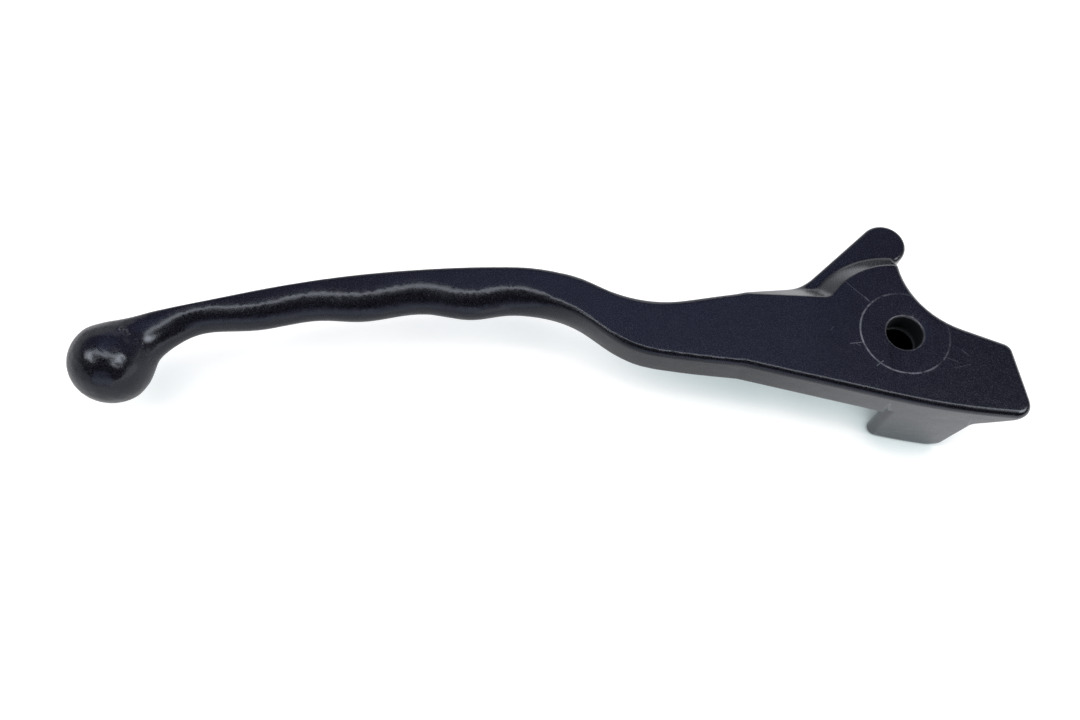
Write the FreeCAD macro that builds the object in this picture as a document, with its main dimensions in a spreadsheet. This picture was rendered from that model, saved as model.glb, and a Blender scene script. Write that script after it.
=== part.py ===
"""Front brake lever for a motorcycle, one aluminium casting, in millimetres.

The pivot bore stands on +Z through the origin and the ball end points to -X.
The finger side faces -Y and the handlebar side +Y. The parting plane is Z = 0.
"""
import FreeCAD, Part
import math
import os

import Sketcher

V = FreeCAD.Vector
UP = V(0, 0, 1)
doc = FreeCAD.newDocument("BrakeLever")
sheet = doc.addObject("Spreadsheet::Sheet", "Sizes")

SIZES = {
    # head plate
    "head_thick": 9.2,
    "edge_round": 1.5,
    "root_step": 36.0,
    "root_back": 10.3,
    "root_front": -7.6,
    "front_turn_x": -5.0,
    "front_turn_y": -15.45,
    "front_round": 150.0,
    "tail_x": 24.4,
    "tail_low_y": -16.0,
    "tail_corner_x": 23.0,
    "tail_corner_y": -2.8,
    "tail_round": 2.4,
    "tail_tip_round": 3.4,
    "tail_top_x": 14.0,
    "tail_top_y": 1.0,
    "scoop_x": 20.4,
    "scoop_y": 18.6,
    "throat_round": 1.1,
    # ear that pushes the piston
    "nose_x": 0.7,
    "nose_y": 25.3,
    "nose_round": 5.2,
    "ear_root_x": -20.0,
    "ear_root_y": 13.6,
    "ear_fillet": 16.0,
    "ear_drop": 4.0,
    "step_round": 17.2,
    "step_left_y": 10.4,
    "step_right_y": 8.9,
    "step_end": 75.0,
    "step_valley": 4.0,
    "step_foot": 2.0,
    "ear_edge": 1.0,
    # pivot
    "bore_dia": 8.0,
    "bore_chamfer": 0.4,
    "relief_round": 14.5,
    "relief_ear": 3.75,
    "relief_side": 4.5,
    "tongue_thick": 6.6,
    "tail_lip": 1.4,
    "tail_edge": 0.9,
    # lug for the brake light switch
    "lug_left": -2.0,
    "lug_thick": 3.6,
    "lug_corner_x": -2.3,
    "lug_corner_z": -15.5,
    "lug_corner_round": 1.6,
    "lug_heel_x": 9.7,
    "lug_heel_z": -14.2,
    "lug_heel_round": 3.0,
    "lug_root_x": 15.2,
    "lug_root_round": 2.0,
    # ball end
    "ball_dia": 18.4,
    "seat_depth": 0.543,
    "seat_inset": 0.5,
}

# Levels that follow from those sizes, all measured down from the head's top face.
LEVELS = {
    "ear_level": "=head_thick / 2 - ear_drop",
    "tongue_level": "=head_thick / 2 - tongue_thick",
    "tail_level": "=head_thick / 2 - tail_lip",
}

# Sections from the head to the ball: name, step from the one before (the head's end
# for the first), place y, turn about Z, back reach, front reach, thickness, shoulder
# and nose radius in half thicknesses, back radius. A field that is None follows others.
SECTIONS = [
    ("arm", 1.0, None, None, 10.15, -7.48, None, None, 200.0, None),
    ("waist", 6.5, None, None, 9.2, -6.75, 9.2, 0.3, 200.0, 1.5),
    ("elbow", 8.0, None, None, 8.25, -5.7, 9.2, 0.32, 120.0, 1.5),
    ("heel", 7.0, None, None, 9.0, -4.15, 9.2, 0.32, 40.0, 1.5),
    ("ramp", 6.5, None, None, 11.25, -0.65, 9.3, 0.34, 8.0, 1.5),
    ("brow", 6.0, None, None, 14.3, 3.6, 9.3, 0.39, 2.45, 1.5),
    ("shoulder", 6.0, None, None, 16.05, 5.9, 9.3, 0.66, 1.34, 1.4),
    ("lead", 6.0, None, None, 16.92, 6.82, 9.6, 1.2, 0.78, 1.3),
    ("groove_a", 5.0, None, None, 17.07, 6.92, 9.6, 1.29, 0.69, 1.2),
    ("crest_a", 7.7, None, None, 17.02, 5.82, 9.5, 1.37, 0.67, 1.2),
    ("groove_b", 10.8, None, None, 16.52, 7.22, 9.4, 1.6, 0.6, 1.2),
    ("crest_b", 14.5, None, None, 15.22, 5.32, 9.2, 1.41, 0.65, 1.2),
    ("groove_c", 9.5, None, None, 13.82, 5.57, 9.0, 1.47, 0.58, 1.0),
    ("crest_c", 14.0, None, None, 11.12, 3.17, 8.8, 1.2, 0.68, 1.0),
    ("neck", 10.5, None, None, 8.62, 2.62, 8.6, 1.2, 0.7, 0.8),
    ("neck_bend", 5.15, 4.27, 106.0, 3.07, -3.07, 8.6, 1.2, 0.7, 0.8),
    ("flare", 4.25, 2.77, 115.5, 3.7, -4.1, 9.0, 1.2, 0.75, 1.4),
    ("bell", 3.7, 0.67, 124.3, 5.15, -5.15, 10.8, 1.2, 0.82, 3.2),
    ("ball_seat", 3.55, -1.48, 134.2, None, None, None, 1.2, 0.82, None),
]
FIELDS = ("step", "y", "turn", "back", "front", "thick", "shoulder", "nose", "back_r")


def fill_sheet():
    """Writes every driving size into the sheet under its own name."""
    rows = list(SIZES.items()) + list(LEVELS.items())
    for section in SECTIONS:
        for field, value in zip(FIELDS, section[1:]):
            if value is not None:
                rows.append((section[0] + "_" + field, value))
    for row, (alias, value) in enumerate(rows, start=1):
        sheet.set("A%d" % row, alias)
        sheet.set("B%d" % row, str(value))
        sheet.setAlias("B%d" % row, alias)
    doc.recompute()


fill_sheet()
body = doc.addObject("PartDesign::Body", "brake_lever")
body.Label = "brake_lever"
planes = {plane.Role: plane for plane in body.Origin.OriginFeatures}


def size(name):
    return float(sheet.get(name))


def new_sketch(name, plane):
    """An empty sketch on one of the body's own origin planes."""
    sketch = body.newObject("Sketcher::SketchObject", name)
    sketch.AttachmentSupport = [(planes[plane], "")]
    sketch.MapMode = "FlatFace"
    return sketch


def hold(sketch, kind, *where, to=None):
    """Adds one constraint, and binds its value to the sheet where one is given."""
    index = sketch.addConstraint(Sketcher.Constraint(kind, *where))
    if to:
        sketch.setExpression("Constraints[%d]" % index, to)
    return index


def hold_point(sketch, geometry, position, x_text, y_text):
    """Places a sketch point from the origin with two bound distances."""
    point = sketch.getPoint(geometry, position)
    hold(sketch, "DistanceX", -1, 1, geometry, position, point.x, to=x_text)
    hold(sketch, "DistanceY", -1, 1, geometry, position, point.y, to=y_text)


def arc(x, y, radius, start, end):
    """An arc run counterclockwise between two angles in degrees."""
    circle = Part.Circle(V(x, y, 0), UP, radius)
    return Part.ArcOfCircle(circle, math.radians(start), math.radians(end))


def line(x1, y1, x2, y2):
    return Part.LineSegment(V(x1, y1, 0), V(x2, y2, 0))


def feature(kind, name, **settings):
    made = body.newObject("PartDesign::" + kind, name)
    for key, value in settings.items():
        setattr(made, key, value)
    doc.recompute()
    return made


def edges_near(base, *points):
    """Names of the edges of a feature that pass closest to the given points."""
    names = []
    for point in points:
        spot = Part.Vertex(V(*point))
        gaps = [edge.distToShape(spot)[0] for edge in base.Shape.Edges]
        names.append("Edge%d" % (gaps.index(min(gaps)) + 1))
    return names


def soften(base, name, size_name, *points):
    """Rounds the edges that pass the given points, and their tangent chains."""
    rounded = feature("Fillet", name, Base=(base, edges_near(base, *points)))
    rounded.setExpression("Radius", "Sizes." + size_name)
    doc.recompute()
    return rounded


def outline_middle(geometry, level):
    """A point half way along one straight of the head outline, at one level."""
    straight = doc.getObject("HeadOutline").Geometry[geometry]
    middle = (straight.StartPoint + straight.EndPoint) / 2
    return middle.x, middle.y, level


def head_outline():
    """The plan of the head plate with its ear, scooped side and tail."""
    sketch = new_sketch("HeadOutline", "XY_Plane")
    root_x = -size("root_step")
    back_y = size("root_back")
    front_y = size("root_front")
    shapes = [
        line(root_x, back_y, -23.4, 12.4),
        arc(-25.1, 23.2, 11.0, 278.8, 313.8),
        line(-17.5, 15.3, -3.15, 29.1),
        arc(0.6, 25.2, 5.4, -73.4, 134.0),
        arc(2.46, 18.97, 1.1, 106.7, 177.4),
        arc(20.4, 18.6, 19.2, 178.0, 245.0),
        line(12.3, 1.2, 21.35, -3.0),
        arc(20.5, -4.8, 2.0, 3.7, 64.3),
        line(22.5, -4.7, 23.25, -16.7),
        arc(21.6, -16.8, 1.6, 270.0, 363.7),
        arc(23.4, 98.5, 117.0, 255.96, 269.5),
        line(-5.0, -15.0, root_x, front_y),
        line(root_x, front_y, root_x, back_y),
    ]
    for shape in shapes:
        sketch.addGeometry(shape, False)
    joints = [(0, 2, 1, 1), (1, 2, 2, 1), (2, 2, 3, 2), (3, 1, 4, 1), (4, 2, 5, 1),
              (5, 2, 6, 1), (6, 2, 7, 2), (7, 1, 8, 1), (8, 2, 9, 2), (9, 1, 10, 2),
              (10, 1, 11, 1)]
    for joint in joints:
        hold(sketch, "Tangent", *joint)
    for corner in [(11, 2, 12, 1), (12, 2, 0, 1)]:
        hold(sketch, "Coincident", *corner)
    ear_corner = sketch.addGeometry(Part.Point(V(-20, 12.9, 0)), True)
    tail_top = sketch.addGeometry(Part.Point(V(14.0, 0.4, 0)), True)
    tail_corner = sketch.addGeometry(Part.Point(V(22.4, -3.5, 0)), True)
    tail_side = sketch.addGeometry(Part.Point(V(23.2, -16, 0)), True)
    for point, owner in [(ear_corner, 0), (ear_corner, 2), (tail_top, 6),
                         (tail_corner, 6), (tail_corner, 8), (tail_side, 8)]:
        hold(sketch, "PointOnObject", point, 1, owner)
    hold_point(sketch, 0, 1, "-Sizes.root_step", "Sizes.root_back")
    hold_point(sketch, 11, 2, "-Sizes.root_step", "Sizes.root_front")
    hold_point(sketch, ear_corner, 1, "Sizes.ear_root_x", "Sizes.ear_root_y")
    hold_point(sketch, 3, 3, "Sizes.nose_x", "Sizes.nose_y")
    hold_point(sketch, 5, 3, "Sizes.scoop_x", "Sizes.scoop_y")
    hold_point(sketch, tail_top, 1, "Sizes.tail_top_x", "Sizes.tail_top_y")
    hold_point(sketch, tail_corner, 1, "Sizes.tail_corner_x", "Sizes.tail_corner_y")
    hold_point(sketch, tail_side, 1, "Sizes.tail_x", "Sizes.tail_low_y")
    hold_point(sketch, 10, 1, "Sizes.front_turn_x", "Sizes.front_turn_y")
    for geometry, name in [(1, "ear_fillet"), (3, "nose_round"), (4, "throat_round"),
                           (7, "tail_round"), (9, "tail_tip_round"),
                           (10, "front_round")]:
        hold(sketch, "Radius", geometry, size(name), to="Sizes." + name)
    doc.recompute()
    return sketch


def head_plate():
    """The flat head, padded both ways from the parting plane and rounded."""
    outline = head_outline()
    pad = feature("Pad", "HeadPlate", Profile=outline, SideType="Symmetric")
    pad.setExpression("Length", "Sizes.head_thick")
    doc.recompute()
    half = size("head_thick") / 2
    return soften(pad, "HeadEdges", "edge_round",
                  outline_middle(11, half), outline_middle(11, -half))


def seat_gap():
    """Text and value of the distance from the ball's centre to its seat."""
    text = "(Sizes.seat_depth * Sizes.ball_dia / 2)"
    return text, size("seat_depth") * size("ball_dia") / 2


def seat_radius():
    """Text and value of the reach of the last section, just inside the ball."""
    gap_text, gap = seat_gap()
    text = "(sqrt((Sizes.ball_dia / 2)^2 - " + gap_text + "^2) - Sizes.seat_inset)"
    at_gap = math.sqrt((size("ball_dia") / 2) ** 2 - gap ** 2)
    return text, at_gap - size("seat_inset")


def section_fields(section):
    """Expression text and present value of every field of one section."""
    name = section[0]
    fields = {"y": ("0", 0.0), "turn": ("90", 90.0)}
    if name == "arm":
        edge_share = size("edge_round") / (size("head_thick") / 2)
        fields["thick"] = ("Sizes.head_thick", size("head_thick"))
        fields["shoulder"] = ("Sizes.edge_round / (Sizes.head_thick / 2)", edge_share)
        fields["back_r"] = ("Sizes.edge_round", size("edge_round"))
    if name == "ball_seat":
        text, reach = seat_radius()
        fields["back"] = (text, reach)
        fields["front"] = ("-" + text, -reach)
        fields["thick"] = ("2 * " + text, 2 * reach)
        fields["back_r"] = ("0.9 * " + text, 0.9 * reach)
    for field, value in zip(FIELDS, section[1:]):
        if value is not None:
            alias = name + "_" + field
            fields[field] = ("Sizes." + alias, size(alias))
    return fields


def section_shapes(fields):
    """Lines and arcs of one grip section: flat back and top, rounded front."""
    back, front = fields["back"][1], fields["front"][1]
    half = fields["thick"][1] / 2
    top_r, nose_r = half * fields["shoulder"][1], half * fields["nose"][1]
    back_r = fields["back_r"][1]
    lean = (top_r - half) / (top_r - nose_r)
    swing = math.degrees(math.asin(lean))
    nose_u = front + nose_r
    top_u = nose_u + (top_r - nose_r) * math.cos(math.radians(swing))
    low, high = half - back_r, half - top_r
    return [
        line(back, -low, back, low),
        arc(back - back_r, low, back_r, 0, 90),
        line(back - back_r, half, top_u, half),
        arc(top_u, high, top_r, 90, 180 - swing),
        arc(nose_u, 0, nose_r, 180 - swing, 180 + swing),
        arc(top_u, -high, top_r, 180 + swing, 270),
        line(top_u, -half, back - back_r, -half),
        arc(back - back_r, -low, back_r, 270, 360),
    ]


def place_x(section):
    """Text and value of a section's x, the sum of the steps up to it."""
    rows = SECTIONS[:SECTIONS.index(section) + 1]
    names = ["root_step"] + [row[0] + "_step" for row in rows]
    text = "-(" + " + ".join("Sizes." + name for name in names) + ")"
    return text, -sum(size(name) for name in names)


def place_section(sketch, section, fields):
    """Stands a section upright, one step further out than the one before."""
    text, x = place_x(section)
    turn = FreeCAD.Rotation(V(0, 1, 0), fields["turn"][1])
    sketch.AttachmentOffset = FreeCAD.Placement(V(x, 0, -fields["y"][1]), turn)
    sketch.setExpression("AttachmentOffset.Base.x", text + " * 1mm")
    sketch.setExpression("AttachmentOffset.Base.z", "-%s * 1mm" % fields["y"][0])
    sketch.setExpression("AttachmentOffset.Rotation.Angle", fields["turn"][0] + " * 1deg")


def grip_section(section):
    """One section sketch of the arm, grip or neck, driven by its sheet rows."""
    sketch = new_sketch("Section_" + section[0], "XZ_Plane")
    fields = section_fields(section)
    place_section(sketch, section, fields)
    for shape in section_shapes(fields):
        sketch.addGeometry(shape, False)
    for joint in [(0, 2, 1, 1), (1, 2, 2, 1), (2, 2, 3, 1), (3, 2, 4, 1),
                  (4, 2, 5, 1), (5, 2, 6, 1), (6, 2, 7, 1), (7, 2, 0, 1)]:
        hold(sketch, "Tangent", *joint)
    hold(sketch, "Vertical", 0)
    hold(sketch, "Horizontal", 2)
    hold(sketch, "Horizontal", 6)
    hold(sketch, "PointOnObject", 4, 3, -1)
    hold(sketch, "Equal", 3, 5)
    hold(sketch, "Equal", 1, 7)
    back_text, back = fields["back"]
    back_r_text, back_r = fields["back_r"]
    half_text, half = fields["thick"][0] + " / 2", fields["thick"][1] / 2
    top_text, top_r = "%s * %s" % (fields["shoulder"][0], half_text), half * fields["shoulder"][1]
    nose_text, nose_r = "%s * %s" % (fields["nose"][0], half_text), half * fields["nose"][1]
    nose_u_text = "%s + %s" % (fields["front"][0], nose_text)
    hold(sketch, "DistanceX", -1, 1, 4, 3, fields["front"][1] + nose_r, to=nose_u_text)
    hold(sketch, "DistanceX", -1, 1, 0, 1, back, to=back_text)
    hold(sketch, "DistanceY", -1, 1, 2, 1, half, to=half_text)
    hold(sketch, "DistanceY", 6, 1, -1, 1, half, to=half_text)
    hold(sketch, "Radius", 1, back_r, to=back_r_text)
    hold(sketch, "Radius", 3, top_r, to=top_text)
    hold(sketch, "Radius", 4, nose_r, to=nose_text)
    return sketch


def grip(head):
    """The arm and the finger-grooved grip, lofted on from the head's end face."""
    sketches = [grip_section(section) for section in SECTIONS]
    doc.recompute()
    spot = Part.Vertex(V(-size("root_step"), 0, 0))
    gaps = [face.distToShape(spot)[0] for face in head.Shape.Faces]
    end_face = "Face%d" % (gaps.index(min(gaps)) + 1)
    return feature("AdditiveLoft", "Grip", Profile=(head, [end_face]), Sections=sketches,
                   Ruled=False, Closed=False)


def ball_end():
    """The ball, centred square behind the section that sits in it, seam at its tip."""
    ball = body.newObject("PartDesign::AdditiveSphere", "BallEnd")
    ball.AttachmentSupport = [(planes["XY_Plane"], "")]
    ball.MapMode = "FlatFace"
    ball.AttachmentOffset = FreeCAD.Placement(V(0, 0, 0), FreeCAD.Rotation(UP, 180))
    gap = seat_gap()[0]
    lean = "((Sizes.ball_seat_turn - 90) * 1deg)"
    place_text = "(%s - %s * %s%s) * 1mm"
    x_text = place_text % (place_x(SECTIONS[-1])[0], gap, "cos", lean)
    y_text = place_text % ("Sizes.ball_seat_y", gap, "sin", lean)
    ball.setExpression("Radius", "Sizes.ball_dia / 2")
    ball.setExpression("AttachmentOffset.Base.x", x_text)
    ball.setExpression("AttachmentOffset.Base.y", y_text)
    doc.recompute()
    return ball


def step_cutter(name, level_text):
    """Plan of the space above the ear at one level, set back at 45 degrees."""
    sketch = new_sketch(name, "XY_Plane")
    sketch.setExpression("AttachmentOffset.Base.z", "(" + level_text + ") * 1mm")
    doc.recompute()
    level = sketch.AttachmentOffset.Base.z
    back = size("head_thick") / 2 - level
    radius = size("step_round") + back
    right_y = size("step_right_y") + back
    corner = math.degrees(math.asin(right_y / radius))
    turn_x = -radius * math.cos(math.radians(corner))
    end_turn = math.radians(size("step_end"))
    end = V(radius * math.cos(end_turn), radius * math.sin(end_turn), 0)
    left_x, left_y = -size("root_step") - size("head_thick"), size("step_left_y") + back
    side_x = size("nose_x") + 2 * size("nose_round")
    back_y = size("nose_y") + 3 * size("nose_round")
    shapes = [
        line(left_x, left_y, turn_x, right_y),
        arc(0, 0, radius, size("step_end"), 180 - corner),
        line(end.x, end.y, side_x, back_y),
        line(side_x, back_y, left_x, back_y),
        line(left_x, back_y, left_x, left_y),
    ]
    for shape in shapes:
        sketch.addGeometry(shape, False)
    for corner in [(0, 2, 1, 2), (1, 1, 2, 1), (2, 2, 3, 1), (3, 2, 4, 1), (4, 2, 0, 1)]:
        hold(sketch, "Coincident", *corner)
    shift = " + Sizes.head_thick / 2 - (" + level_text + ")"
    hold(sketch, "Coincident", 1, 3, -1, 1)
    hold(sketch, "Radius", 1, radius, to="Sizes.step_round" + shift)
    hold(sketch, "DistanceY", -1, 1, 0, 2, right_y, to="Sizes.step_right_y" + shift)
    hold(sketch, "DistanceY", -1, 1, 0, 1, left_y, to="Sizes.step_left_y" + shift)
    hold(sketch, "DistanceX", 0, 1, -1, 1, -left_x, to="Sizes.root_step + Sizes.head_thick")
    hold(sketch, "DistanceX", -1, 1, 1, 1, end.x,
         to="(Sizes.step_round" + shift + ") * cos(Sizes.step_end * 1deg)")
    hold(sketch, "DistanceX", -1, 1, 2, 2, side_x, to="Sizes.nose_x + 2 * Sizes.nose_round")
    hold(sketch, "DistanceY", -1, 1, 2, 2, back_y, to="Sizes.nose_y + 3 * Sizes.nose_round")
    hold(sketch, "Horizontal", 3)
    hold(sketch, "Vertical", 4)
    doc.recompute()
    return sketch


def ear_step():
    """Lowers the ear's top below the head with a sloped wall round the pivot."""
    low = step_cutter("StepLow", "Sizes.ear_level")
    high = step_cutter("StepHigh", "Sizes.head_thick * 0.55")
    step = feature("SubtractiveLoft", "EarStep", Profile=low, Sections=[high],
                   Ruled=True, Closed=False)
    level = size("ear_level")
    half_fall = (size("head_thick") / 2 - level) / 2
    valley_y = size("step_right_y") + half_fall
    valley_x = -math.sqrt((size("step_round") + half_fall) ** 2 - valley_y ** 2)
    valley = soften(step, "StepValley", "step_valley",
                    (valley_x, valley_y, level + half_fall))
    reach = size("step_round") + 2 * half_fall
    side = math.radians(125)
    foot = soften(valley, "StepFoot", "step_foot",
                  (reach * math.cos(side), reach * math.sin(side), level))
    return soften(foot, "EarEdges", "ear_edge", outline_middle(2, level))


def tongue_relief():
    """Thins the underside round the pivot, where the bracket takes it."""
    sketch = new_sketch("ReliefOutline", "XY_Plane")
    sketch.setExpression("AttachmentOffset.Base.z", "Sizes.tongue_level * 1mm")
    radius = size("relief_round")
    first = V(size("relief_ear"), math.sqrt(radius ** 2 - size("relief_ear") ** 2), 0)
    last = V(-size("relief_side"), -math.sqrt(radius ** 2 - size("relief_side") ** 2), 0)
    right, top = size("tail_x") + size("head_thick"), size("tail_top_y") + radius
    low = size("tail_low_y") - size("head_thick")
    start = math.degrees(math.atan2(first.y, first.x))
    end = math.degrees(math.atan2(last.y, last.x)) + 360
    shapes = [
        arc(0, 0, radius, start, end),
        line(last.x, last.y, last.x, low),
        line(last.x, low, right, low),
        line(right, low, right, top),
        line(right, top, first.x, first.y),
    ]
    for shape in shapes:
        sketch.addGeometry(shape, False)
    for corner in [(0, 2, 1, 1), (1, 2, 2, 1), (2, 2, 3, 1), (3, 2, 4, 1), (4, 2, 0, 1)]:
        hold(sketch, "Coincident", *corner)
    hold(sketch, "Coincident", 0, 3, -1, 1)
    hold(sketch, "Radius", 0, radius, to="Sizes.relief_round")
    hold(sketch, "DistanceX", -1, 1, 0, 1, first.x, to="Sizes.relief_ear")
    hold(sketch, "DistanceX", 0, 2, -1, 1, -last.x, to="Sizes.relief_side")
    hold(sketch, "Vertical", 1)
    hold(sketch, "Horizontal", 2)
    hold(sketch, "Vertical", 3)
    hold_point(sketch, 2, 2, "Sizes.tail_x + Sizes.head_thick", "Sizes.tail_low_y - Sizes.head_thick")
    hold(sketch, "DistanceY", -1, 1, 3, 2, top, to="Sizes.tail_top_y + Sizes.relief_round")
    doc.recompute()
    return feature("Pocket", "TongueRelief", Profile=sketch, Type="ThroughAll")


def lug_plan():
    """Plan of the switch lug, flush with the head's front wall."""
    sketch = new_sketch("LugPlan", "XY_Plane")
    sketch.addExternal("HeadOutline", "Edge11")
    wall = doc.getObject("HeadOutline").Geometry[10]
    middle, reach = wall.Center, wall.Radius
    thick = size("lug_thick")
    end_x = size("lug_root_x") + thick / 2
    left = 180 + math.degrees(math.acos((middle.x - size("lug_left")) / (reach - thick / 2)))
    right = 180 + math.degrees(math.acos((middle.x - end_x) / reach))
    shapes = [
        arc(middle.x, middle.y, reach, left, right),
        arc(size("lug_left"), -13.9, thick / 2, left - 180, left),
        arc(middle.x, middle.y, reach - thick, left, right),
        line(end_x, -15, end_x, -18.5),
    ]
    for shape in shapes:
        sketch.addGeometry(shape, False)
    hold(sketch, "Coincident", 0, 3, -3, 3)
    hold(sketch, "Coincident", 2, 3, -3, 3)
    hold(sketch, "Equal", 0, -3)
    hold(sketch, "Tangent", 1, 2, 0, 1)
    hold(sketch, "Tangent", 1, 1, 2, 1)
    hold(sketch, "Coincident", 3, 1, 2, 2)
    hold(sketch, "Coincident", 3, 2, 0, 2)
    hold(sketch, "Vertical", 3)
    hold(sketch, "Radius", 1, thick / 2, to="Sizes.lug_thick / 2")
    hold(sketch, "DistanceX", -1, 1, 1, 3, size("lug_left"), to="Sizes.lug_left")
    hold(sketch, "DistanceX", -1, 1, 3, 1, end_x, to="Sizes.lug_root_x + Sizes.lug_thick / 2")
    doc.recompute()
    return sketch


def lug_trim():
    """Elevation of the metal to take off round the lug and under the tail."""
    sketch = new_sketch("LugTrim", "XZ_Plane")
    corner_x, corner_z = size("lug_corner_x"), size("lug_corner_z")
    heel_x, heel_z = size("lug_heel_x"), size("lug_heel_z")
    corner_r, heel_r = size("lug_corner_round"), size("lug_heel_round")
    root_x, root_r = size("lug_root_x"), size("lug_root_round")
    level = size("tongue_level")
    left = size("lug_left") - 3 * size("lug_thick")
    right = size("tail_x") + size("lug_thick")
    low = heel_z - 4 * heel_r
    rise = (size("tail_level") - level) / (size("tail_x") - root_x)
    tip_level = level + rise * (right - root_x)
    shapes = [
        line(left, low, left, corner_z),
        line(left, corner_z, corner_x - corner_r, corner_z),
        arc(corner_x, corner_z, corner_r, 180, 257),
        line(corner_x - 0.4, corner_z - corner_r, heel_x - 0.6, heel_z - heel_r),
        arc(heel_x, heel_z, heel_r, 257, 350),
        line(heel_x + heel_r, heel_z, root_x - root_r, level - root_r),
        arc(root_x, level - root_r, root_r, 90, 170),
        line(root_x, level, right, tip_level),
        line(right, tip_level, right, low),
        line(right, low, left, low),
    ]
    for shape in shapes:
        sketch.addGeometry(shape, False)
    for joint in [(2, 2, 3, 1), (3, 2, 4, 1), (4, 2, 5, 1), (5, 2, 6, 2), (6, 1, 7, 1)]:
        hold(sketch, "Tangent", *joint)
    for corner in [(0, 2, 1, 1), (1, 2, 2, 1), (7, 2, 8, 1), (8, 2, 9, 1), (9, 2, 0, 1)]:
        hold(sketch, "Coincident", *corner)
    tail_edge = sketch.addGeometry(Part.Point(V(size("tail_x"), size("tail_level"), 0)), True)
    hold(sketch, "PointOnObject", tail_edge, 1, 7)
    hold_point(sketch, tail_edge, 1, "Sizes.tail_x", "Sizes.tail_level")
    for flat in (1, 9):
        hold(sketch, "Horizontal", flat)
    for upright in (0, 8):
        hold(sketch, "Vertical", upright)
    hold_point(sketch, 2, 3, "Sizes.lug_corner_x", "Sizes.lug_corner_z")
    hold_point(sketch, 4, 3, "Sizes.lug_heel_x", "Sizes.lug_heel_z")
    hold_point(sketch, 7, 1, "Sizes.lug_root_x", "Sizes.tongue_level")
    hold(sketch, "DistanceY", -1, 1, 1, 2, corner_z, to="Sizes.lug_corner_z")
    hold(sketch, "Radius", 2, corner_r, to="Sizes.lug_corner_round")
    hold(sketch, "Radius", 4, heel_r, to="Sizes.lug_heel_round")
    hold(sketch, "Radius", 6, root_r, to="Sizes.lug_root_round")
    hold_point(sketch, 0, 1, "Sizes.lug_left - 3 * Sizes.lug_thick",
               "Sizes.lug_heel_z - 4 * Sizes.lug_heel_round")
    hold(sketch, "DistanceX", -1, 1, 8, 1, right, to="Sizes.tail_x + Sizes.lug_thick")
    doc.recompute()
    return sketch


def switch_lug():
    pad = feature("Pad", "SwitchLug", Profile=lug_plan(), Reversed=True)
    pad.setExpression("Length", "2 * Sizes.lug_heel_round - Sizes.lug_heel_z")
    doc.recompute()
    trim = feature("Pocket", "LugShape", Profile=lug_trim(), Type="ThroughAll",
                   SideType="Symmetric")
    doc.recompute()
    rise = (size("tail_level") - size("tongue_level")) / (size("tail_x") - size("lug_root_x"))
    x, y, _ = outline_middle(8, 0)
    level = size("tail_level") - rise * (size("tail_x") - x)
    return soften(trim, "TailEdges", "tail_edge", (x, y, level))


def pivot_bore():
    sketch = new_sketch("BoreCircle", "XY_Plane")
    sketch.addGeometry(Part.Circle(V(0, 0, 0), UP, size("bore_dia") / 2), False)
    hold(sketch, "Coincident", 0, 3, -1, 1)
    hold(sketch, "Diameter", 0, size("bore_dia"), to="Sizes.bore_dia")
    doc.recompute()
    bore = feature("Pocket", "PivotBore", Profile=sketch, Type="ThroughAll",
                   SideType="Symmetric")
    radius = size("bore_dia") / 2
    rims = edges_near(bore, (-radius, 0, size("head_thick") / 2),
                      (-radius, 0, size("tongue_level")))
    chamfer = feature("Chamfer", "BoreRims", Base=(bore, rims))
    chamfer.setExpression("Size", "Sizes.bore_chamfer")
    doc.recompute()
    return chamfer


grip(head_plate())
ball_end()
ear_step()
tongue_relief()
switch_lug()
pivot_bore()
for thing in doc.Objects:
    if "Invalid" in thing.State or "Error" in thing.State:
        raise RuntimeError("%s did not build: %s" % (thing.Label, thing.State))
shape = body.Shape
if shape.isNull() or not shape.isValid() or len(shape.Solids) != 1:
    raise RuntimeError("the lever is not one valid solid")
os.makedirs("parts", exist_ok=True)
shape.exportStep("parts/brake_lever.step")
print("brake_lever: %.1f mm3, %d faces, %s" % (shape.Volume, len(shape.Faces), shape.BoundBox))
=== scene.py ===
# %% [markdown]
# # A cast brake lever in satin black
# The object is one aluminium casting with a thin black coat. Its form comes
# from the CAD part, so the work here is surface: how the coat's grain, its
# sheen and its few scratches catch the light. The lever keeps the place that
# the CAD gives it, with the pivot's axis on the origin.

from math import radians, tan

import bpy
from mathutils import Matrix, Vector


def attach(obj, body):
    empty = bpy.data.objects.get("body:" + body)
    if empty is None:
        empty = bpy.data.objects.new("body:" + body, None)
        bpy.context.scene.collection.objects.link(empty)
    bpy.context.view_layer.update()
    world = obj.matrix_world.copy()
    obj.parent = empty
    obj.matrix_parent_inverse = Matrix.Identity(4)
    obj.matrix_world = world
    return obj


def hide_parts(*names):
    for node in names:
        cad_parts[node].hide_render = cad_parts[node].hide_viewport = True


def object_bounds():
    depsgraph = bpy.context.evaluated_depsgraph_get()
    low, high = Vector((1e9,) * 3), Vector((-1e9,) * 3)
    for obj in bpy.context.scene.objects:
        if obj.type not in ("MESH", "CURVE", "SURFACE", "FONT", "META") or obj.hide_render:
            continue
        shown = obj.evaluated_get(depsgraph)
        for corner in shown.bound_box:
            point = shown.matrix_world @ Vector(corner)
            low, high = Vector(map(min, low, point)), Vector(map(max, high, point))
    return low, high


MM = 0.001

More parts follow.
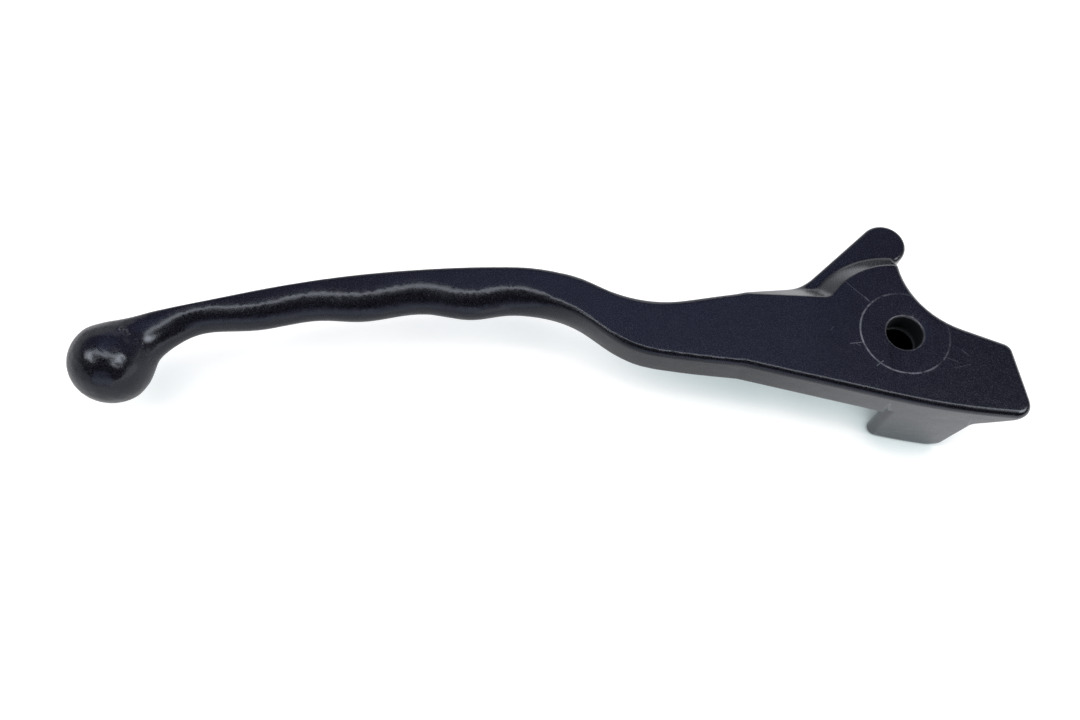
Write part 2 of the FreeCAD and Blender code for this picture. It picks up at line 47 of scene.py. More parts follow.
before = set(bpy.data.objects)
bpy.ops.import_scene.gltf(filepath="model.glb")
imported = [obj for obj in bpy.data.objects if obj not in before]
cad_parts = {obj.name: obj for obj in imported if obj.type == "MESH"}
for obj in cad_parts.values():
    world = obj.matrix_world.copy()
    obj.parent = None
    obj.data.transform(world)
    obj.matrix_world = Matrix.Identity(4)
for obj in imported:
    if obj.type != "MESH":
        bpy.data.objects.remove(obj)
cad_box = [list(corner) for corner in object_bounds()]
lever_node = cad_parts["brake_lever"]
scene = bpy.context.scene
print("CAD box in metres:", cad_box)

# %% [markdown]
# # The casting's skin
# On the real lever the faces run into each other through cast radii, and
# only the step on the ear and the rims of the bore are crisp. The CAD mesh
# is loose triangles, so a copy is taken and its doubled points are merged.
# Remodelling the skin by hand would lose the true radii.


# %% Copy the casting and weld it
WELD = 0.002 * MM


def only(piece):
    """Leave one object selected and active."""
    bpy.ops.object.select_all(action="DESELECT")
    piece.select_set(True)
    bpy.context.view_layer.objects.active = piece
    return piece


only(lever_node)
bpy.ops.object.duplicate()
lever = bpy.context.active_object
lever.name = lever.data.name = "lever_casting"
only(lever)
bpy.ops.object.mode_set(mode="EDIT")
bpy.ops.mesh.select_all(action="SELECT")
bpy.ops.mesh.remove_doubles(threshold=WELD)
bpy.ops.mesh.select_all(action="DESELECT")
bpy.ops.object.mode_set(mode="OBJECT")
print("welded casting:", len(lever.data.vertices), "points")

# %% [markdown]
# # Ball and neck in one flow
# A cast neck runs into its ball through a soft hollow, because sand or wax
# keeps no sharp inner corner. In the CAD mesh the two meet in a crease. Only
# the points round that crease are picked, by how far along the neck they lie
# from the ball's centre. The mesh is made finer there and eased by Smooth,
# as with a soft brush, and two wider, lighter passes hide where the first
# one ends. A bevel would fail on such uneven triangles.

# %% Ease the crease between ball and neck
BALL_RADIUS = cad_box[1][2]
BALL_Y = -4.96 * MM
BALL_AT = Vector((cad_box[0][0] + BALL_RADIUS, BALL_Y, 0))
NECK_WAY = Vector((0.76, 0.65, 0))
EASE_REACH = 14 * MM
EASE_STRENGTH = 0.5
EASES = [  # start and end along the neck, new cuts, rounds of smoothing
    (3.0 * MM, 10.5 * MM, 1, 24),
    (1.6 * MM, 11.5 * MM, 0, 4),
    (0.2 * MM, 12.5 * MM, 0, 2),
]
for ease_from, ease_to, cuts, rounds in EASES:
    for point in lever.data.vertices:
        off = point.co - BALL_AT
        near = off.length < EASE_REACH
        point.select = near and ease_from < off.dot(NECK_WAY) < ease_to
    only(lever)
    bpy.ops.object.mode_set(mode="EDIT")
    if cuts:
        bpy.ops.mesh.subdivide(number_cuts=cuts)
    bpy.ops.mesh.vertices_smooth(factor=EASE_STRENGTH, repeat=rounds)
    bpy.ops.mesh.select_all(action="DESELECT")
    bpy.ops.object.mode_set(mode="OBJECT")
print("eased casting:", len(lever.data.vertices), "points")

# %% [markdown]
# # Smooth light, crisp edges
# Shading by angle keeps the few crisp edges and smooths the rest. Weighted
# normals let the big flat faces rule the small fillets beside them, so flat
# faces stay flat in the reflections.

# %% Shade the skin and hand it to the frame
CRISP_ANGLE = radians(38)
bpy.ops.object.shade_smooth_by_angle(angle=CRISP_ANGLE)
even = lever.modifiers.new("even_normals", "WEIGHTED_NORMAL")
even.keep_sharp = True
bpy.ops.object.modifier_apply(modifier=even.name)
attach(lever, "root")
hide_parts("brake_lever")
print("casting:", len(lever.data.polygons), "faces")

# %% [markdown]
# # Tools for a material
# Colours are written as they look on a screen, in hex, and turned into the
# linear numbers that a shader works with. One helper adds any node, gives it
# its settings and fills or links its sockets, so a material reads from top
# to bottom like a recipe.


# %% Colour and node helpers
def linear(hex_code):
    """Screen hex such as "1B1C22" as a linear RGBA colour."""
    channels = [int(hex_code[i : i + 2], 16) / 255 for i in (0, 2, 4)]
    return [
        c / 12.92 if c <= 0.04045 else ((c + 0.055) / 1.055) ** 2.4
        for c in channels
    ] + [1.0]


def add(tree, kind, inputs=None, **settings):
    """Add a node; an input is a plain value or another node's output."""
    made = tree.nodes.new("ShaderNode" + kind)
    for name, value in settings.items():
        setattr(made, name, value)
    for key, value in (inputs or {}).items():
        if isinstance(value, bpy.types.NodeSocket):
            tree.links.new(value, made.inputs[key])
        else:
            made.inputs[key].default_value = value
    return made


def new_material(name):
    """A material with an empty node tree and its output node."""
    made = bpy.data.materials.new(name)
    made.use_nodes = True
    made.node_tree.nodes.clear()
    return made, made.node_tree, add(made.node_tree, "OutputMaterial")


print("satin black in linear light:", linear("1B1C22"))

# %% [markdown]
# # Satin black coat: its grain
# The coat is a thin baked paint on a blasted casting. Close up it is a
# bluish black with a sandy grain about a quarter of a millimetre across.
# The grain changes the tone a little and the gloss a little. A wide, slow
# cloud of tone lies over it, as hands and handling leave it. Noise in the
# object's own coordinates gives this at its true size from any side.

# %% Grain and cloud of the coat
GRAIN = 0.26 * MM
CLOUD = 9 * MM
GRAIN_DARK, GRAIN_PALE = linear("020203"), linear("1C1C24")
GRAIN_DARK_AT, GRAIN_PALE_AT = 0.36, 0.68
CLOUD_LOW, CLOUD_HIGH = 0.86, 1.14
NOISE_LOW, NOISE_HIGH = 0.3, 0.7  # where most of a noise's values lie
coat, tree, coat_out = new_material("satin_black_coat")
where = add(tree, "TexCoord").outputs["Object"]
grain = add(
    tree,
    "TexNoise",
    {"Vector": where, "Scale": 1 / GRAIN, "Detail": 1.5, "Roughness": 0.6},
).outputs["Fac"]
cloud = add(
    tree,
    "TexNoise",
    {"Vector": where, "Scale": 1 / CLOUD, "Detail": 2.0},
).outputs["Fac"]
grain_tone = add(tree, "ValToRGB", {"Fac": grain})
grain_ends = grain_tone.color_ramp.elements
grain_ends[0].position, grain_ends[0].color = GRAIN_DARK_AT, GRAIN_DARK
grain_ends[1].position, grain_ends[1].color = GRAIN_PALE_AT, GRAIN_PALE
cloud_tone = add(
    tree,
    "MapRange",
    {"Value": cloud, "From Min": NOISE_LOW, "From Max": NOISE_HIGH,
     "To Min": CLOUD_LOW, "To Max": CLOUD_HIGH},
).outputs["Result"]
print("coat grain", GRAIN / MM, "mm, cloud", CLOUD / MM, "mm")

# %% [markdown]
# # Painted light: the arm a shade lighter than the head
# The arm's top face catches more light than the head's, and that light is
# painted into the coat, so the arm is a shade lighter and the head a shade
# darker. A short ramp along X sets the arm's tone apart.

# %% Painted light: tone of the arm and of the head
ARM_ENDS, HEAD_STARTS = -22 * MM, -17 * MM
ARM_PAINTED_LIGHT, HEAD_PAINTED_LIGHT = 1.28, 0.96
axes = add(tree, "SeparateXYZ", {"Vector": where}).outputs
# Painted light: the coat is made lighter on the arm and darker on the head.
painted_arm_light = add(
    tree,
    "MapRange",
    {"Value": axes["X"], "From Min": ARM_ENDS, "From Max": HEAD_STARTS,
     "To Min": ARM_PAINTED_LIGHT, "To Max": HEAD_PAINTED_LIGHT},
    interpolation_type="SMOOTHSTEP",
).outputs["Result"]
# tone carries the coat's random cloud and the arm's painted light.
tone = add(
    tree, "Math", {0: cloud_tone, 1: painted_arm_light}, operation="MULTIPLY"
).outputs[0]
coat_colour = add(
    tree,
    "VectorMath",
    {0: grain_tone.outputs["Color"], "Scale": tone},
    operation="SCALE",
).outputs[0]
print("arm tone ends at x =", ARM_ENDS / MM, "mm")

# %% [markdown]
# # The ring round the pivot: a painted highlight
# A faint step round the pivot catches the light along its edge. It is painted
# as a thin, partly pale circle, a painted highlight, strongest on the side
# towards the grip. The distance from the pivot's axis draws the circle.

# %% Circle round the pivot
RING_RADIUS = 9.75 * MM
RING_HALF = 0.27 * MM
RING_CORE = 0.35  # share of the half width at full strength
flat = add(tree, "CombineXYZ", {"X": axes["X"], "Y": axes["Y"]}).outputs[0]
from_pivot = add(
    tree, "VectorMath", {0: flat}, operation="LENGTH"
).outputs["Value"]
off_ring = add(
    tree, "Math", {0: from_pivot, 1: RING_RADIUS}, operation="SUBTRACT"
).outputs[0]
ring_gap = add(tree, "Math", {0: off_ring}, operation="ABSOLUTE").outputs[0]
ring = add(
    tree,
    "MapRange",
    {"Value": ring_gap, "From Min": RING_HALF * RING_CORE,
     "From Max": RING_HALF, "To Min": 1.0, "To Max": 0.0},
    interpolation_type="SMOOTHSTEP",
).outputs["Result"]
print("witness ring radius", RING_RADIUS / MM, "mm")

# %% [markdown]
# # Breaking the ring up
# A ring of one strength looks printed. A slope across it makes the painted
# highlight fade away from the grip, where the step's edge catches less light;
# noise takes bits out of it, and only the top face takes it.

# %% Fade, gaps and top face
TOP_FACE = 4.4 * MM
RING_LIT_WAY = (-0.82, -0.57, 0.0)
RING_FAINT_AT, RING_STRONG_AT = -9.5 * MM, 9 * MM
RING_FAINT, RING_STRONG = 0.05, 0.72
RING_PATCH = 1.3 * MM
PATCH_BARE, PATCH_FULL = 0.28, 0.56
ring_side = add(
    tree,
    "VectorMath",
    {0: flat, 1: RING_LIT_WAY},
    operation="DOT_PRODUCT",
).outputs["Value"]
ring_lit_side = add(
    tree,
    "MapRange",
    {"Value": ring_side, "From Min": RING_FAINT_AT,
     "From Max": RING_STRONG_AT, "To Min": RING_FAINT,
     "To Max": RING_STRONG},
).outputs["Result"]
patches = add(
    tree,
    "TexNoise",
    {"Vector": where, "Scale": 1 / RING_PATCH, "Detail": 2.0},
).outputs["Fac"]
patch_fade = add(
    tree,
    "MapRange",
    {"Value": patches, "From Min": PATCH_BARE, "From Max": PATCH_FULL},
).outputs["Result"]
on_top = add(
    tree, "Math", {0: axes["Z"], 1: TOP_FACE}, operation="GREATER_THAN"
).outputs[0]
# The ring's mask is the painted highlight of the step's edge round the pivot.
ring_highlight = ring
for factor in (ring_lit_side, patch_fade, on_top):
    ring_highlight = add(
        tree, "Math", {0: ring_highlight, 1: factor}, operation="MULTIPLY"
    ).outputs[0]
print("ring strength from", RING_FAINT, "to", RING_STRONG)

# %% [markdown]
# # Hairline scratches
# A few scratches cut the coat on the head: a long one by the ear's step, a
# forked one left of the pivot and short ones on the tail. Each is a straight
# line from one point to another on the top face, and the distance to that
# line, found with a few vector nodes, gives its mask.

# %% Scratches as lines with a width
SCRATCHES = [  # start and end in mm, half width in mm, strength
    ((-11.4, 13.0), (-7.0, 8.2), 0.08, 0.26),
    ((-7.5, 8.9), (-6.8, 8.0), 0.20, 0.28),
    ((-12.4, -2.6), (-9.8, -2.3), 0.10, 0.46),
    ((-11.3, -2.4), (-10.3, -3.2), 0.08, 0.30),
    ((-7.4, -7.9), (-5.9, -6.8), 0.13, 0.40),
    ((7.6, -5.9), (10.2, -7.0), 0.07, 0.22),
    ((9.3, -8.5), (12.9, -7.6), 0.07, 0.20),
    ((11.6, -4.1), (12.9, -5.6), 0.08, 0.24),
    ((-16.2, 0.8), (-15.4, 1.6), 0.08, 0.20),
]
LINE_CORE, LINE_EDGE = 0.4, 1.2  # of the half width: full, and gone
marks_and_ring_highlight = ring_highlight
for start, end, half_width, strength in SCRATCHES:
    along = [(e - s) * MM for s, e in zip(start, end)]
    length_squared = along[0] ** 2 + along[1] ** 2
    from_start = add(
        tree,
        "VectorMath",
        {0: flat, 1: (start[0] * MM, start[1] * MM, 0)},
        operation="SUBTRACT",
    ).outputs["Vector"]
    reach = add(
        tree,
        "VectorMath",
        {0: from_start, 1: [a / length_squared for a in along] + [0]},
        operation="DOT_PRODUCT",
    ).outputs["Value"]
    reach = add(tree, "Clamp", {"Value": reach}).outputs[0]
    nearest = add(
        tree,
        "VectorMath",
        {0: along + [0], "Scale": reach},
        operation="SCALE",
    ).outputs["Vector"]
    away = add(
        tree,
        "VectorMath",
        {0: from_start, 1: nearest},
        operation="DISTANCE",
    ).outputs["Value"]
    line = add(
        tree,
        "MapRange",
        {"Value": away, "From Min": half_width * LINE_CORE * MM,
         "From Max": half_width * LINE_EDGE * MM, "To Min": strength,
         "To Max": 0},
    ).outputs["Result"]
    line = add(
        tree, "Math", {0: line, 1: on_top}, operation="MULTIPLY"
    ).outputs[0]
    marks_and_ring_highlight = add(
        tree, "Math", {0: marks_and_ring_highlight, 1: line}, operation="MAXIMUM"
    ).outputs[0]
print(len(SCRATCHES), "scratches")

# %% [markdown]
# # Worn rim of the bore
# The bolt has rubbed the coat thin at the bore's chamfer, where bare metal
# begins to show as a fine light line. The rim is a narrow band of distance
# from the axis, near the top face, broken by the same noise as the ring.

# %% Rim mask
RIM_FROM, RIM_TO = 4.0 * MM, 4.5 * MM
RIM_BOTTOM = 4.1 * MM
RIM_STRENGTH = 0.5
rim_mark = add(
    tree,
    "MapRange",
    {"Value": from_pivot, "From Min": RIM_FROM, "From Max": RIM_TO,
     "To Min": RIM_STRENGTH, "To Max": 0.0},
).outputs["Result"]
near_top = add(
    tree, "Math", {0: axes["Z"], 1: RIM_BOTTOM}, operation="GREATER_THAN"
).outputs[0]
for factor in (patch_fade, near_top):
    rim_mark = add(
        tree, "Math", {0: rim_mark, 1: factor}, operation="MULTIPLY"
    ).outputs[0]
print("rim worn out to", RIM_TO / MM, "mm from the axis")

# %% [markdown]
# # Specks of dust
# A little pale dust lies in the grain. It is made of the few cells of a
# Voronoi pattern that chance picks, drawn as small dots.

# %% Dust, then all the marks and the ring's painted highlight in one mask
DUST_CELL = 5 * MM
DUST_DOT = 0.20 * MM
DUST_CORE = 0.5  # share of the dot that is fully pale
DUST_SHARE = 0.3
DUST_STRENGTH = 0.4
dust = add(
    tree,
    "TexVoronoi",
    {"Vector": where, "Scale": 1 / DUST_CELL, "Randomness": 1.0},
).outputs
dust_dot = add(
    tree,
    "MapRange",
    {"Value": dust["Distance"], "From Min": DUST_DOT / DUST_CELL * DUST_CORE,
     "From Max": DUST_DOT / DUST_CELL, "To Min": DUST_STRENGTH,
     "To Max": 0.0},
).outputs["Result"]
dust_chance = add(
    tree, "SeparateXYZ", {"Vector": dust["Color"]}
).outputs["X"]
dust_kept = add(
    tree, "Math", {0: dust_chance, 1: 1 - DUST_SHARE}, operation="GREATER_THAN"
).outputs[0]
dust_mark = add(
    tree, "Math", {0: dust_dot, 1: dust_kept}, operation="MULTIPLY"
).outputs[0]
for mark in (rim_mark, dust_mark):
    marks_and_ring_highlight = add(
        tree, "Math", {0: marks_and_ring_highlight, 1: mark}, operation="MAXIMUM"
    ).outputs[0]
print("dust dots", DUST_DOT / MM, "mm")

# %% [markdown]
# # The uneven skin
# The skin is a little uneven under the paint, as cast metal is, and most of
# all on the ball, where the light breaks into a cloudy patch. Bump gives
# that at three sizes, from slow waves to the grain, without more triangles.

# %% Waves, peel and grain as bump
BALL_STARTS, BALL_BLEND = -166 * MM, 4 * MM
WAVE, WAVE_DEPTH = 3.4 * MM, 0.5 * MM
WAVE_ON_BALL, WAVE_ELSEWHERE = 0.55, 0.13
PEEL, PEEL_DEPTH, PEEL_STRENGTH = 1.1 * MM, 0.05 * MM, 0.16
GRAIN_DEPTH, GRAIN_STRENGTH = 0.02 * MM, 0.30
peel = add(
    tree,
    "TexNoise",
    {"Vector": where, "Scale": 1 / PEEL, "Detail": 2.0},
).outputs["Fac"]
wave = add(
    tree,
    "TexNoise",
    {"Vector": where, "Scale": 1 / WAVE, "Detail": 1.0},
).outputs["Fac"]
wave_strength = add(
    tree,
    "MapRange",
    {"Value": axes["X"], "From Min": BALL_STARTS - BALL_BLEND,
     "From Max": BALL_STARTS, "To Min": WAVE_ON_BALL,
     "To Max": WAVE_ELSEWHERE},
    interpolation_type="SMOOTHSTEP",
).outputs["Result"]
waved = add(
    tree,
    "Bump",
    {"Strength": wave_strength, "Distance": WAVE_DEPTH, "Height": wave},
).outputs["Normal"]
peeled = add(
    tree,
    "Bump",
    {"Strength": PEEL_STRENGTH, "Distance": PEEL_DEPTH, "Height": peel,
     "Normal": waved},
).outputs["Normal"]
grained = add(
    tree,
    "Bump",
    {"Strength": GRAIN_STRENGTH, "Distance": GRAIN_DEPTH, "Height": grain,
     "Normal": peeled},
).outputs["Normal"]
print("skin waves", WAVE / MM, "mm, peel", PEEL / MM, "mm")

# %% [markdown]
# # Satin sheen, bare marks and a bore painted dark
# The coat reflects in a soft, spread way: lamps draw blurred lines along the
# fillets, and the pale table shows in the side walls. Where a mark cuts it,
# the grey of the metal shows, and the same grey paints the ring's highlight.
# The bore's wall is painted near black, a painted shade for its dark inside,
# and made duller. All of it is one paint, so one shader carries it, led by
# the masks.

# %% Put the coat together
COAT_IOR = 1.58
SHEEN_TINT = linear("E9F1FF")
# Bare metal grey paints the worn marks and also the ring's painted highlight.
BARE_METAL_AND_HIGHLIGHT, BORE_PAINTED_SHADE = linear("8E9197"), linear("030303")
GLOSS_LOW, GLOSS_HIGH = 0.19, 0.30  # roughness of dark and of pale grain
BORE_WALL = 4.02 * MM
BORE_ROUGHNESS_ADDED = 0.6  # roughness added in the bore
coat_gloss = add(
    tree,
    "MapRange",
    {"Value": grain, "From Min": NOISE_LOW, "From Max": NOISE_HIGH,
     "To Min": GLOSS_LOW, "To Max": GLOSS_HIGH},
).outputs["Result"]
# Painted shade: inside the bore the coat is painted near black.
in_bore = add(
    tree, "Math", {0: from_pivot, 1: BORE_WALL}, operation="LESS_THAN"
).outputs[0]
gloss = add(
    tree,
    "Math",
    {0: in_bore, 1: BORE_ROUGHNESS_ADDED, 2: coat_gloss},
    operation="MULTIPLY_ADD",
).outputs[0]
# worn mixes in bare grey for the marks and for the ring's painted highlight.
worn = add(
    tree,
    "Mix",
    {0: marks_and_ring_highlight, 6: coat_colour, 7: BARE_METAL_AND_HIGHLIGHT},
    data_type="RGBA",
).outputs[2]
coat_and_bore_shade = add(
    tree,
    "Mix",
    {0: in_bore, 6: worn, 7: BORE_PAINTED_SHADE},
    data_type="RGBA",
).outputs[2]
skin = add(
    tree,
    "BsdfPrincipled",
    {"Base Color": coat_and_bore_shade, "Roughness": gloss, "IOR": COAT_IOR,
     "Specular Tint": SHEEN_TINT, "Normal": grained},
)
tree.links.new(skin.outputs[0], coat_out.inputs["Surface"])
lever.data.materials.clear()
lever.data.materials.append(coat)
print("coat nodes:", len(tree.nodes))

# %% [markdown]
# # A white table
# The lever lies on plain white. The table is white by its own colour, and
# for what the camera sees, directly, mirrored or through glass, it also
# glows up to full white. The lever mirrors it more dimly towards the grip
# than under the head, which sets how bright its side walls are.

# %% How brightly the table is seen
MIRROR_FROM, MIRROR_TO = -45 * MM, 5 * MM
MIRROR_GRIP, MIRROR_HEAD = 0.48, 1.25
white, floor_tree, floor_out = new_material("white_table")
rays = add(floor_tree, "LightPath").outputs
spot = add(floor_tree, "NewGeometry").outputs
place = add(floor_tree, "SeparateXYZ", {"Vector": spot["Position"]}).outputs
mirrored = add(
    floor_tree,
    "MapRange",
    {"Value": place["X"], "From Min": MIRROR_FROM, "From Max": MIRROR_TO,
     "To Min": MIRROR_GRIP, "To Max": MIRROR_HEAD},
    interpolation_type="SMOOTHSTEP",
).outputs["Result"]
seen = add(
    floor_tree,
    "Math",
    {0: rays["Is Glossy Ray"], 1: mirrored},
    operation="MULTIPLY",
).outputs[0]
for ray in ("Is Camera Ray", "Is Transmission Ray"):
    seen = add(
        floor_tree, "Math", {0: seen, 1: rays[ray]}, operation="MAXIMUM"
    ).outputs[0]
print("table mirrored from", MIRROR_GRIP, "to", MIRROR_HEAD)

# %% [markdown]
# # The shadow, and the dark bore
# Only a faint bluish shadow hugs the lever, so the glow is painted darker in
# corners, which Ambient Occlusion finds: a painted shadow. The real lever lies
# low, and through its bore the table is dark. So each ray that meets the table
# is traced back to the lever's middle plane, and where it came through the
# bore the table is painted black, a painted shadow.

# %% Corners and the bore
CORNER_REACH = 22 * MM
CORNER_TONES = [  # share of open sky, and the glow's colour there
    (0.24, "000000"),
    (0.55, "C2CFD1"),
    (0.79, "FFFFFF"),
]
SHADE_FROM, SHADE_TO = 4.3 * MM, 5.0 * MM
# Painted shadow: the table's glow is dimmed and tinted in corners.
corner = add(
    floor_tree, "AmbientOcclusion", {"Distance": CORNER_REACH}, samples=24
).outputs["AO"]
painted_corner_shadow = add(floor_tree, "ValToRGB", {"Fac": corner})
painted_corner_shadow.color_ramp.interpolation = "EASE"
tones = painted_corner_shadow.color_ramp.elements
tones.new(CORNER_TONES[1][0])
for stop, (share, colour) in zip(tones, CORNER_TONES):
    stop.position, stop.color = share, linear(colour)
# Painted shadow: a ray that came through the bore finds the table black.
rise = add(
    floor_tree, "SeparateXYZ", {"Vector": spot["Incoming"]}
).outputs["Z"]
steps = add(
    floor_tree, "Math", {0: place["Z"], 1: rise}, operation="DIVIDE"
).outputs[0]
back = add(
    floor_tree,
    "VectorMath",
    {0: spot["Incoming"], "Scale": steps},
    operation="SCALE",
).outputs["Vector"]
crossing = add(
    floor_tree,
    "VectorMath",
    {0: spot["Position"], 1: back},
    operation="SUBTRACT",
).outputs["Vector"]
from_axis = add(
    floor_tree, "VectorMath", {0: crossing}, operation="LENGTH"
).outputs["Value"]
unshaded = add(
    floor_tree,
    "MapRange",
    {"Value": from_axis, "From Min": SHADE_FROM, "From Max": SHADE_TO,
     "To Min": 0.0, "To Max": 1.0},
    interpolation_type="SMOOTHSTEP",
).outputs["Result"]
print("shadow reaches", CORNER_REACH / MM, "mm")

# %% [markdown]
# # The table top
# The glow and a plain matt white are added up. The table lies a hair below
# the lever's lowest point, so the two never touch.

# %% Table top under the lug
FLOOR_DROP = 0.15 * MM
FLOOR_SIZE = 8.0
TABLE_GLOW = 0.92
PAPER = linear("A8A8A8")
glow_strength = seen
for factor in (TABLE_GLOW, unshaded):
    glow_strength = add(
        floor_tree, "Math", {0: glow_strength, 1: factor}, operation="MULTIPLY"
    ).outputs[0]
paper_colour = add(
    floor_tree,
    "VectorMath",
    {0: PAPER[:3], "Scale": unshaded},
    operation="SCALE",
).outputs[0]
glow = add(
    floor_tree,
    "Emission",
    {"Color": painted_corner_shadow.outputs["Color"], "Strength": glow_strength},
).outputs[0]
paper = add(floor_tree, "BsdfDiffuse", {"Color": paper_colour}).outputs[0]
table_top = add(floor_tree, "AddShader", {0: glow, 1: paper}).outputs[0]
floor_tree.links.new(table_top, floor_out.inputs["Surface"])

floor_level = cad_box[0][2] - FLOOR_DROP
bpy.ops.object.select_all(action="DESELECT")
bpy.ops.mesh.primitive_plane_add(
    size=FLOOR_SIZE, location=(0, 0, floor_level)
)
floor = bpy.context.active_object
floor.name = "table"
floor.data.materials.append(white)
print("table at z =", round(floor_level / MM, 2), "mm")

# %% [markdown]
# # A low backdrop
# From the side the eye looks past the table's edge, so a white wall stands
# round it. It is higher behind the lever than in front of it: the finger
# side of the real lever mirrors a dark room there.

# %% Backdrop wall round the table
WALL_RADIUS = 3.0
WALL_SIDES = 96
WALL_GAP = 30 * MM  # clear of the table, so no shadow line is drawn there
WALL_HIGH = WALL_RADIUS * tan(radians(22))
WALL_LOW = WALL_RADIUS * tan(radians(7.5))
FRONT_FROM = -0.2 * WALL_RADIUS
bpy.ops.object.select_all(action="DESELECT")
bpy.ops.mesh.primitive_cylinder_add(
    vertices=WALL_SIDES,
    radius=WALL_RADIUS,
    depth=WALL_HIGH,
    end_fill_type="NOTHING",
    location=(0, 0, floor_level + WALL_GAP + WALL_HIGH / 2),
)
wall = bpy.context.active_object
wall.name = "backdrop"
for wall_point in wall.data.vertices:
    in_front = wall_point.co.y - wall_point.co.x < FRONT_FROM
    if wall_point.co.z > 0 and in_front:
        wall_point.co.z = WALL_LOW - WALL_HIGH / 2
wall.data.materials.append(white)
print("backdrop", round(WALL_HIGH, 2), "m high behind")
print("backdrop", round(WALL_LOW, 2), "m high in front")

# %% [markdown]
# # Three soft lamps overhead
# The light line along the grip comes from one long lamp above the lever,
# running the way the lever runs. The two broad lamps at its ends show in the
# round ball, as its cloudy patch.

# %% Lamps
LAMPS = [  # name, place in metres, length, width, power in watts
    ("long_lamp", (-0.02, 0.02, 1.0), 1.15, 0.24, 3.5),
    ("right_lamp", (0.90, -0.20, 0.99), 0.70, 0.60, 9.6),
    ("left_lamp", (-0.88, -0.16, 0.99), 0.44, 0.54, 4.6),
]
LAMP_TINT = (1.0, 0.985, 0.975)
for lamp_name, lamp_at, long_side, short_side, power in LAMPS:
    bpy.ops.object.light_add(type="AREA", location=lamp_at)
    lamp = bpy.context.active_object
    lamp.name = lamp_name
    lamp.data.shape = "RECTANGLE"
    lamp.data.size, lamp.data.size_y = long_side, short_side
    lamp.data.energy = power
    lamp.data.color = LAMP_TINT
    print(lamp_name, power, "W")

# %% [markdown]
# # A dim room behind
# The top faces mirror the room behind the lever, which is a dim blue and
# brightest in one soft spot, so that the arm comes out lighter than the
# head. Towards the front the room is dark, which gives the black band under
# the light line. The direction that a ray takes decides what it finds.

# %% Room behind
ROOM_DARK_FROM, ROOM_LIT_FROM = -0.15, 0.40  # reach towards +Y
ROOM_FRONT, ROOM_BEHIND = 0.0, 0.80
SOFT_SPOT_WAY = (0.08, 0.42, 0.90)
SOFT_SPOT = [(0.75, 0.30), (0.93, 0.34), (0.985, 1.0)]  # nearness, level
room = bpy.data.worlds.new("dim_room")
scene.world = room
room.use_nodes = True
room_tree = room.node_tree
room_tree.nodes.clear()
facing = add(room_tree, "TexCoord").outputs["Generated"]
ways = add(room_tree, "SeparateXYZ", {"Vector": facing}).outputs
room_level = add(
    room_tree,
    "MapRange",
    {"Value": ways["Y"], "From Min": ROOM_DARK_FROM,
     "From Max": ROOM_LIT_FROM, "To Min": ROOM_FRONT,
     "To Max": ROOM_BEHIND},
    interpolation_type="SMOOTHSTEP",
).outputs["Result"]
nearness = add(
    room_tree,
    "VectorMath",
    {0: facing, 1: SOFT_SPOT_WAY},
    operation="DOT_PRODUCT",
).outputs["Value"]
soft_spot = add(room_tree, "ValToRGB", {"Fac": nearness})
soft_spot_stops = soft_spot.color_ramp.elements
soft_spot_stops.new(SOFT_SPOT[1][0])
for stop, (near_at, level) in zip(soft_spot_stops, SOFT_SPOT):
    stop.position, stop.color = near_at, (level, level, level, 1)
room_behind = add(
    room_tree,
    "Math",
    {0: room_level, 1: soft_spot.outputs["Color"]},
    operation="MULTIPLY",
).outputs[0]
print("room behind at", ROOM_BEHIND)

# %% [markdown]
# # A pale band low in front
# The lower half of the grip's wall mirrors something pale and low in front
# of it. The front of the ball has to stay dark, so the band is kept low, and
# narrow from left to right. Behind, the wall hides most of it.

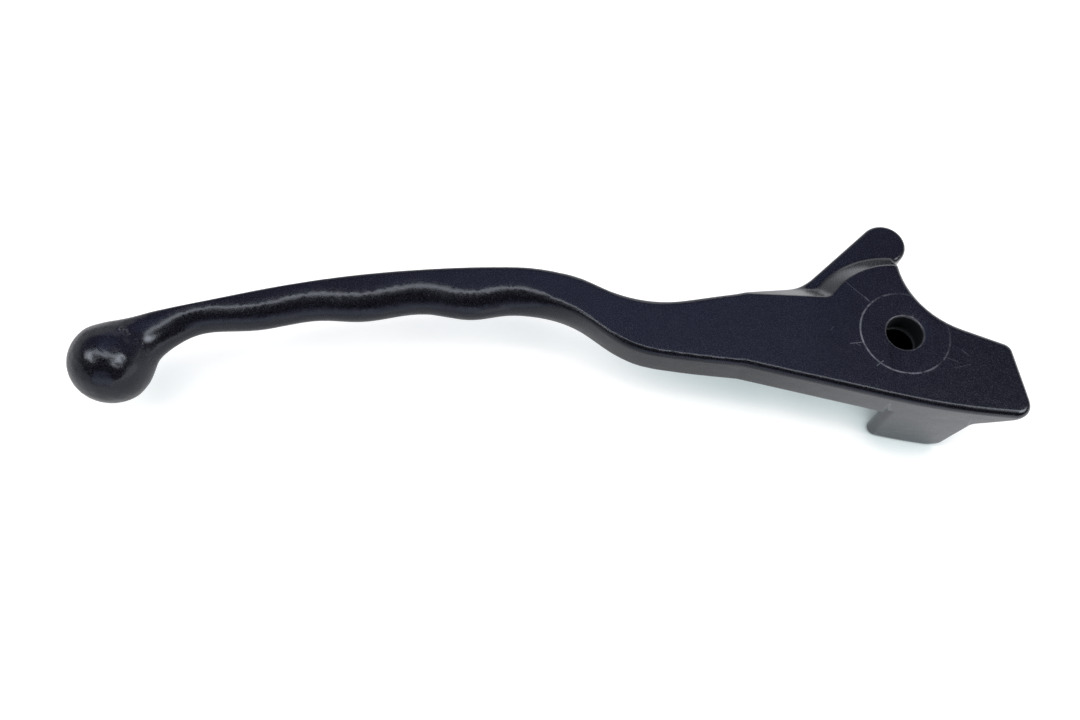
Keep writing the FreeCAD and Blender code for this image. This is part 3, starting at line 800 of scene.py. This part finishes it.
# %% Low band
LOW_GLOW = 1.9
LOW_FULL, LOW_GONE = 0.22, 0.62  # rise of the ray
LOW_MIDDLE = -0.13
SIDE_FULL, SIDE_GONE = 0.24, 0.38  # reach to either side of the middle
low_band = add(
    room_tree,
    "MapRange",
    {"Value": ways["Z"], "From Min": LOW_FULL, "From Max": LOW_GONE,
     "To Min": LOW_GLOW, "To Max": 0.0},
    interpolation_type="SMOOTHSTEP",
).outputs["Result"]
aside = add(
    room_tree, "Math", {0: ways["X"], 1: LOW_MIDDLE}, operation="SUBTRACT"
).outputs[0]
aside = add(room_tree, "Math", {0: aside}, operation="ABSOLUTE").outputs[0]
by_grip = add(
    room_tree,
    "MapRange",
    {"Value": aside, "From Min": SIDE_FULL, "From Max": SIDE_GONE,
     "To Min": 1.0, "To Max": 0.0},
    interpolation_type="SMOOTHSTEP",
).outputs["Result"]
low_light = add(
    room_tree, "Math", {0: low_band, 1: by_grip}, operation="MULTIPLY"
).outputs[0]
print("low band at", LOW_GLOW)

# %% [markdown]
# # The room as the eye sees it
# Above the backdrop the camera finds plain white. The lever itself finds the
# dim room, which keeps its coat black.

# %% Put the room together
ROOM_BLUE, BAND_GREY = linear("A8ABDC"), linear("B4B5C6")
ROOM_WHITE = linear("FFFFFF")
room_strength = add(
    room_tree, "Math", {0: room_behind, 1: low_light}, operation="ADD"
).outputs[0]
room_colour = add(
    room_tree,
    "Mix",
    {0: low_light, 6: ROOM_BLUE, 7: BAND_GREY},
    data_type="RGBA",
).outputs[2]
room_light = add(
    room_tree,
    "Background",
    {"Color": room_colour, "Strength": room_strength},
).outputs[0]
pale_room = add(room_tree, "Background", {"Color": ROOM_WHITE}).outputs[0]
eye = add(room_tree, "LightPath").outputs["Is Camera Ray"]
room_mix = add(room_tree, "MixShader", {0: eye, 1: room_light, 2: pale_room})
add(room_tree, "OutputWorld", {"Surface": room_mix.outputs[0]})
print("room nodes:", len(room_tree.nodes))

# %% [markdown]
# # The camera
# The lever was seen from above and a little from the finger side. A 30 mm
# lens at about 18 cm gives the slight spread of its side walls.

# %% Camera
CAMERA_AT = (-80.3 * MM, -87.84 * MM, 182.04 * MM)
CAMERA_TILT = radians(24.6)
CAMERA_LENS, CAMERA_SENSOR = 30, 36  # in mm, as a camera's sheet gives them
bpy.ops.object.camera_add(location=CAMERA_AT, rotation=(CAMERA_TILT, 0, 0))
camera = bpy.context.active_object
camera.name = "photo_camera"
camera.data.lens = CAMERA_LENS
camera.data.sensor_width = CAMERA_SENSOR
camera.data.clip_start = 10 * MM
scene.camera = camera
scene.view_settings.view_transform = "Standard"
print("camera at", CAMERA_AT)
